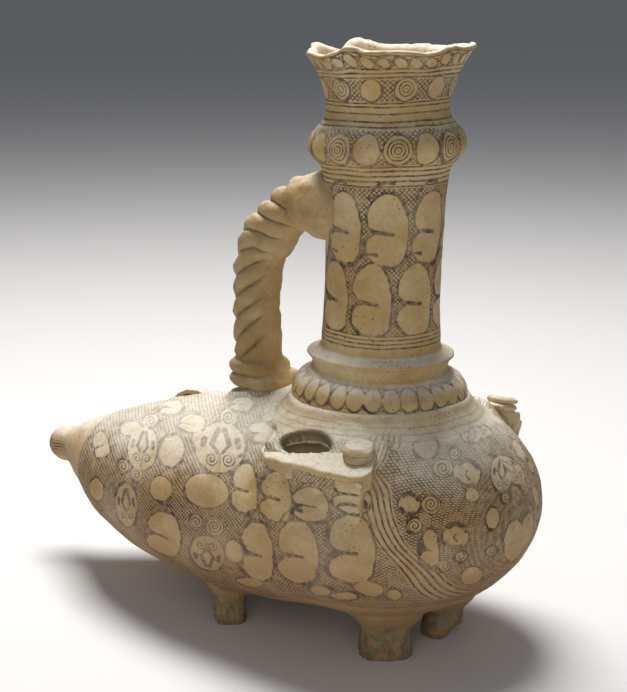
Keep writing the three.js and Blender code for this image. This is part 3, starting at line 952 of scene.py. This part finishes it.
HANDLE_CLAY = (0.27, 0.165, 0.06, 1)
# Painted shade: the dark colour laid along the rope's grooves
GROOVE_SHADE = (0.075, 0.05, 0.025, 1)
SMOOTH_SIDE = -0.97
ROPE_SIDE = -0.55
SWELL_SIDE = -0.1
SWELL_FULL = -0.75
HANDLE_AROUND = 96
HANDLE_ALONG = 300


def bent_grid(bm, around, along):
    """A grid rolled up so that its two long sides meet, ready to be shaped as a tube."""
    bmesh.ops.create_grid(bm, x_segments=around, y_segments=along, size=0.5)
    flat = read_spots(bm)
    return (flat[:, 0] + 0.5) * 2 * math.pi, flat[:, 1] + 0.5


def close_tube(bm):
    bmesh.ops.remove_doubles(bm, verts=bm.verts, dist=0.01)
    bmesh.ops.holes_fill(bm, edges=[e for e in bm.edges if e.is_boundary], sides=0)
    face_outward(bm)


bm = bmesh.new()
row, part = bent_grid(bm, HANDLE_AROUND, HANDLE_ALONG)
angle = -(row + part * ROPE_TURNS * 2 * math.pi)
line = smooth_line(HANDLE_LINE, 400)
length = np.linalg.norm(np.diff(line, axis=0), axis=1).sum()
run = part * length
steps = np.gradient(line, axis=0)
steps /= np.linalg.norm(steps, axis=1)[:, None]
at = part * (len(line) - 1)
middle, tangent = (
    np.stack([np.interp(at, np.arange(400), c) for c in rows.T], 1)
    for rows in (line, steps)
)
outward = np.cross((0, -1, 0), tangent)
outward /= np.linalg.norm(outward, axis=1)[:, None]
across = np.cross(outward, tangent)
outer = ease(np.cos(angle), SMOOTH_SIDE, ROPE_SIDE)
inner = 1 - ease(np.cos(angle), SWELL_FULL, SWELL_SIDE)
rope = ease(run, ROPE_FROM, ROPE_FROM + 6) * (1 - ease(run, ROPE_TO - 3, ROPE_TO))
strand = row * ROPE_STRANDS / (2 * math.pi) + 0.5
strand += 0.13 * rough(middle + 40, 16, 17)
crest = np.clip(1 - (2 * (strand % 1) - 1) ** 2, 0, 1) ** 0.42 - 0.75
grow = crest * ROPE_DEPTH * outer * rope
for height, half, rise in FOOT_COILS:
    grow += rise * outer * np.sqrt(np.clip(1 - ((run - height) / half) ** 2, 0, 1))
grow += HEEL_SPREAD * inner * (1 - ease(run, HEEL_TOP - 32, HEEL_TOP))
grow += BEND_SWELL * inner * np.exp(-(((run - BEND_MIDDLE) / BEND_SPREAD) ** 2))
grow += COLLAR_STEP * ease(run, TRUMPET_FROM, TRUMPET_FROM + 1.5)
grow += TRUMPET_FLARE * ease(run, TRUMPET_FROM + 3, TRUMPET_TO)
spots = middle + outward * ((HANDLE_DEPTH + grow) * np.cos(angle))[:, None]
spots += across * ((HANDLE_WIDTH + grow) * np.sin(angle))[:, None]
uneven = 1.3 * rough(spots, 16, 8) + 0.7 * rough(spots, 6, 9) + 0.2 * rough(spots, 2.5, 10)
spots += (spots - middle) * (uneven / HANDLE_DEPTH)[:, None]
axis_x = NECK_OFFSET + NECK_LEAN * (spots[:, 2] - FLANGE_HEIGHT)
from_axis = np.hypot(spots[:, 0] - axis_x, spots[:, 1])
push = np.where(run > TRUMPET_FROM, np.maximum(WALL_MIDDLE / from_axis, 1), 1)
spots[:, 0] = axis_x + (spots[:, 0] - axis_x) * push
spots[:, 1] *= push
write_spots(bm, spots)
# Painted shade: how deep each place lies in a groove of the twist, where the handle is darkened as shade
# falls
groove_shade = bm.verts.layers.float.new("groove_shade")
for v, depth in zip(bm.verts, np.clip((-0.1 - crest) * 1.8, 0, 1) * outer * rope):
    v[groove_shade] = depth
close_tube(bm)
handle = new_piece("rope_handle", bm)
clay = Clay("bare_handle_clay")
brown = clay.span(clay.noise(28, 4), 0.35, 0.7, 0.25, 0.75)
colour = clay.mix(brown, clay.base(low_share=0.3, pale=0.7), HANDLE_CLAY)
# Painted shade along the grooves of the twist
colour = clay.mix(clay.times(clay.stored("groove_shade").outputs["Fac"], 0.8), colour, GROOVE_SHADE)
handle.data.materials.append(clay.finish(colour, bump=0.6))
settle(handle)


# Lugs: on each flank a shelf pierced by a long slot, with a buttress under its rear end and a knob
# of two flattened coils on it. They were pressed on wet, so all edges are soft.
LUG_FRONT = -41
LUG_REAR = 48
LUG_REACH = 94
LUG_PLAN = [
    (LUG_FRONT + 6, 56), (LUG_FRONT, 71), (LUG_FRONT + 3, 79), (LUG_FRONT + 12, 86), (-10, 91), (4, 93),
    (22, 94), (LUG_REAR - 10, LUG_REACH), (LUG_REAR - 2, 91), (LUG_REAR, 84), (LUG_REAR - 13, 56),
]
BUTTRESS = [(10, 131), (12, 112), (18, 104.5), (25, 102.5), (37, 103), (44, 108), (47, 131)]
BUTTRESS_SKEW = 0.4
BUTTRESS_TUCK = 0.17
COIL_ACROSS = 75
COIL_RADIUS = 10.2
COIL_THICK = 2.7
COIL_PITCH = 4.0
CLAY_GRAIN = 0.9


def plate(bm, outline, hole, depth):
    """A flat plate with an outline and perhaps a hole, its lower face at Z 0. Gives its points."""
    edges = []
    start = len(bm.verts)
    for loop in [outline] + ([hole] if hole is not None else []):
        posts = [bm.verts.new((x, y, 0)) for x, y in loop]
        edges += [bm.edges.new(pair) for pair in zip(posts, posts[1:] + posts[:1])]
    faces = [g for g in bmesh.ops.triangle_fill(bm, use_beauty=True, edges=edges)["geom"]
             if isinstance(g, bmesh.types.BMFace)]
    raised = bmesh.ops.extrude_face_region(bm, geom=faces)["geom"]
    top = [g for g in raised if isinstance(g, bmesh.types.BMVert)]
    bmesh.ops.translate(bm, verts=top, vec=(0, 0, depth))
    bm.verts.ensure_lookup_table()
    return bm.verts[start:]


def ring_of(middle_x, middle_y, wide, high, count=36):
    turns = np.linspace(0, 2 * math.pi, count, endpoint=False)
    return [(middle_x + wide * math.cos(t), middle_y + high * math.sin(t)) for t in turns]


def knead(name, bm, grain, passes):
    """Fuses what overlaps in one skin with soft edges, as wet clay is worked together."""
    face_outward(bm)
    lump = new_piece(name, bm)
    remesh = lump.modifiers.new("fuse", "REMESH")
    remesh.mode = "VOXEL"
    remesh.voxel_size = grain
    ready = lump.evaluated_get(bpy.context.evaluated_depsgraph_get())
    fused = bmesh.new()
    fused.from_mesh(ready.to_mesh())
    bpy.data.objects.remove(lump)
    for _ in range(passes):
        bmesh.ops.smooth_vert(fused, verts=fused.verts, factor=0.5,
                              use_axis_x=True, use_axis_y=True, use_axis_z=True)
    return fused


def make_lug(name, coil_x, shift, side):
    bm = bmesh.new()
    shelf = plate(bm, LUG_PLAN, ring_of(*SLOT), LUG_THICK)
    for v in shelf:
        drop = LUG_THICK - v.co.z
        in_slot = math.hypot((v.co.x - SLOT[0]) / SLOT[2], (v.co.y - SLOT[1]) / SLOT[3]) < 1.1
        v.co.z = lug_face(v.co.x, v.co.y) - drop
        if in_slot:
            v.co.y += SLOT_SLANT * drop
    for v in plate(bm, BUTTRESS, None, LUG_REACH - LUG_ROOT):
        tuck = BUTTRESS_TUCK * (BUTTRESS[0][1] - v.co.y)
        v.co = (v.co.x - BUTTRESS_SKEW * (LUG_REACH - LUG_ROOT - v.co.z), LUG_ROOT + v.co.z - tuck, v.co.y)
    bmesh.ops.translate(bm, verts=bm.verts, vec=shift)
    bmesh.ops.scale(bm, vec=(1, side, 1), verts=bm.verts)
    fused = knead(name, bm, CLAY_GRAIN, 9)
    fused.normal_update()
    spots = read_spots(fused)
    out = np.array([v.normal for v in fused.verts])
    uneven = 0.7 * rough(spots, 14, 11) + 0.35 * rough(spots, 5, 12) + 0.12 * rough(spots, 2, 13)
    write_spots(fused, spots + out * uneven[:, None])
    foot = lug_face(coil_x, COIL_ACROSS) + 1.6
    for level in range(2):
        coil = bmesh.ops.create_uvsphere(fused, u_segments=64, v_segments=28, radius=1)["verts"]
        unit = np.array([v.co for v in coil])
        flat = np.hypot(unit[:, 0], unit[:, 1])
        rim = np.clip(flat, 0, 1) ** 0.5 / np.maximum(flat, 0.001)
        turn = np.arctan2(unit[:, 1], unit[:, 0])
        lap = 0.9 * np.clip(1 - np.abs(turn - 1.2 * level + 0.9) / 0.5, 0, 1)
        size = (COIL_RADIUS - 0.9 * level) * (1 + 0.07 * np.sin(2 * turn + 2 * level)) + lap
        spots = np.stack([unit[:, 0] * rim * size, unit[:, 1] * rim * size, unit[:, 2] * COIL_THICK], 1)
        spots[:, 2] += 0.7 * level * np.exp(-((flat - 0.55) / 0.2) ** 2) - 0.2 * spots[:, 1]
        spots += np.stack([rough(spots, 4, 60 + k + 3 * level) for k in range(3)], 1) * 0.45
        spots += (coil_x + 0.7 * level, COIL_ACROSS + 1.2 * level, foot + COIL_PITCH * level)
        spots = (spots + shift) * (1, side, 1)
        for v, spot in zip(coil, spots):
            v.co = spot
    face_outward(fused)
    lug = new_piece(name, fused)
    spots, facing = mesh_arrays(lug.data)
    lug_x, out, lug_z = on_near_lug(spots)
    painted = (lug_x > -4) & (lug_z < lug_face(lug_x, out) - 3.5) & (out > 80)
    painted = painted & (np.abs(facing[:, 1]) > 0.55)
    lay_out_paint(lug.data, ~painted, striped=False)
    lug.data.materials.append(belly_clay)
    settle(lug)
    return lug


near_lug = make_lug("near_lug", 32, (0, 0, 0), -1)
far_lug = make_lug("far_lug", 40, (FAR_LUG_SHIFT[0], 0, FAR_LUG_SHIFT[1]), 1)


# Ear: a small half moon of clay on the ridge behind the nose, pierced by a slit for a cord.
EAR_MIDDLE = -158.8
EAR_FOOT = 131.2
EAR_ASIDE = 2
EAR_HALF = 16.2
EAR_HEIGHT = 7
EAR_THICK = 9.4
EAR_SLOPE = 0.27
EAR_OUTLINE = [
    (-EAR_HALF - 2, -7), (EAR_HALF + 2, -7), (EAR_HALF, 0), (EAR_HALF - 3, 3.2), (EAR_HALF - 8, 6),
    (0, EAR_HEIGHT + 0.3), (8 - EAR_HALF, 6), (3 - EAR_HALF, 3.2), (-EAR_HALF, 0),
]
bm = bmesh.new()
plate(bm, EAR_OUTLINE, ring_of(-1, 1.6, 6.8, 2.1, 24), EAR_THICK)
bmesh.ops.translate(bm, verts=bm.verts, vec=(0, 0, -EAR_THICK / 2))
bmesh.ops.rotate(bm, verts=bm.verts, matrix=Matrix.Rotation(math.pi / 2, 3, "X"))
bmesh.ops.rotate(bm, verts=bm.verts, matrix=Matrix.Rotation(-math.atan(EAR_SLOPE), 3, "Y"))
bmesh.ops.translate(bm, verts=bm.verts, vec=(EAR_MIDDLE, EAR_ASIDE, EAR_FOOT))
bm = knead("ear_form", bm, 0.7, 5)
spots = read_spots(bm)
write_spots(bm, spots + 0.4 * np.stack([rough(spots, 6, seed) for seed in (14, 15, 16)], 1))
ear = new_piece("ear", bm)
clay = Clay("ear_clay")
ear.data.materials.append(clay.finish(clay.base(low_share=0.2), bump=0.45))
settle(ear)


# Feet: four stub feet, drawn out of lumps of clay. One is whole; the others have lost part of
# their underside. Coarse dark grit shows on all of them.
FOOT_TOP = 44
FOOT_AROUND = 72
FOOT_RINGS = 60
SOLE_SHARE = 0.28
FOOT_FLARE = 0.8
GRIT = (0.17, 0.14, 0.085, 1)
GREEN_CRUST = (0.27, 0.26, 0.16, 1)
# Heights in metres between which the crust thins out
CRUST_HEIGHTS = (0.02, 0.034)
clay = Clay("gritty_foot_clay")
# Painted shade in part: the feet take the warm, darker low tone almost fully
colour = clay.base(low_share=0.9)
height = clay.parts(clay.place)[2]
crust = clay.span(clay.plus(height, clay.times(clay.noise(70, 4), 0.016)), *CRUST_HEIGHTS, 1.0, 0.15)
patches = clay.span(clay.noise(160, 5, 0.75), 0.38, 0.6)
green = clay.span(clay.noise(90, 4), 0.5, 0.66, 0.0, 0.7)
colour = clay.mix(clay.times(crust, patches), colour, GRIT)
colour = clay.mix(clay.times(crust, green), colour, GREEN_CRUST)
foot_clay = clay.finish(colour, bump=1.0, roughness=(0.8, 0.95))

for seed, (name, foot_x, foot_y, radius, lost, break_at) in enumerate(FEET):
    bm = bmesh.new()
    angle, part = bent_grid(bm, FOOT_AROUND, FOOT_RINGS)
    level = np.clip((part - SOLE_SHARE) / (1 - SOLE_SHARE), 0, 1)
    fill = np.sqrt(np.clip(part / SOLE_SHARE, 0, 1))
    flare = 1 + 0.1 * (1 - ease(level, 0, 0.3)) + FOOT_FLARE * ease(level, 0.3, 0.85)
    square = 1 + 0.05 * np.cos(4 * angle)
    toward = fill * np.cos(angle - math.radians(break_at))
    broken = lost * (1 - ease(level, 0, 0.6)) * ease(toward, 0.05, 0.8)
    across = fill * radius * flare * square * (1 - 0.02 * broken)
    spots = np.stack([np.cos(angle) * across, np.sin(angle) * across, level * FOOT_TOP + broken], 1)
    coarse = 1.1 * rough(spots, 7, 20 + seed) + 0.6 * rough(spots, 2.6, 30 + seed)
    coarse *= 1 - ease(level, 0.3, 0.7)
    spots[:, :2] *= 1 + (coarse / radius * fill)[:, None]
    gouge = np.maximum(0, rough(spots, 4, 40 + seed) + 0.4 * rough(spots, 1.8, 50 + seed))
    spots[:, 2] += gouge * (1.2 + 0.35 * broken) * (1 - ease(level, 0.0, 0.3))
    write_spots(bm, spots + (foot_x, foot_y, 0))
    close_tube(bm)
    foot = new_piece(name, bm)
    foot.data.materials.append(foot_clay)
    settle(foot)


# Floor and light: a plain pale floor, a soft key from high on the left and a weak fill.
bm = bmesh.new()
bmesh.ops.create_grid(bm, x_segments=1, y_segments=1, size=30)
floor_mesh = bpy.data.meshes.new("floor")
bm.to_mesh(floor_mesh)
bm.free()
floor = bpy.data.objects.new("floor", floor_mesh)
bpy.context.scene.collection.objects.link(floor)
floor_paint = bpy.data.materials.new("floor_paint")
floor_paint.use_nodes = True
floor_paint.node_tree.nodes["Principled BSDF"].inputs["Base Color"].default_value = (0.72, 0.72, 0.73, 1)
floor_paint.node_tree.nodes["Principled BSDF"].inputs["Roughness"].default_value = 0.9
floor_mesh.materials.append(floor_paint)
floor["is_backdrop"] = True


def soft_lamp(name, place, aim, wide, watts, colour):
    lamp = bpy.data.lights.new(name, "AREA")
    lamp.size = wide
    lamp.energy = watts
    lamp.color = colour
    holder = bpy.data.objects.new(name, lamp)
    holder.location = place
    holder.rotation_mode = "QUATERNION"
    holder.rotation_quaternion = (Vector(aim) - Vector(place)).to_track_quat("-Z", "Y")
    bpy.context.scene.collection.objects.link(holder)


soft_lamp("key", (-0.35, 0.3, 1.75), (0, 0, 0.15), 0.8, 44, (1, 0.97, 0.93))
soft_lamp("fill", (0.9, -1.5, 0.7), (0, 0, 0.15), 1.2, 7, (1, 0.95, 0.88))
world = bpy.data.worlds.new("room")
world.use_nodes = True
world.node_tree.nodes["Background"].inputs["Color"].default_value = (0.9, 0.93, 1, 1)
world.node_tree.nodes["Background"].inputs["Strength"].default_value = 0.15
bpy.context.scene.world = world
bpy.context.scene.view_settings.view_transform = "Standard"

low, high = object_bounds()
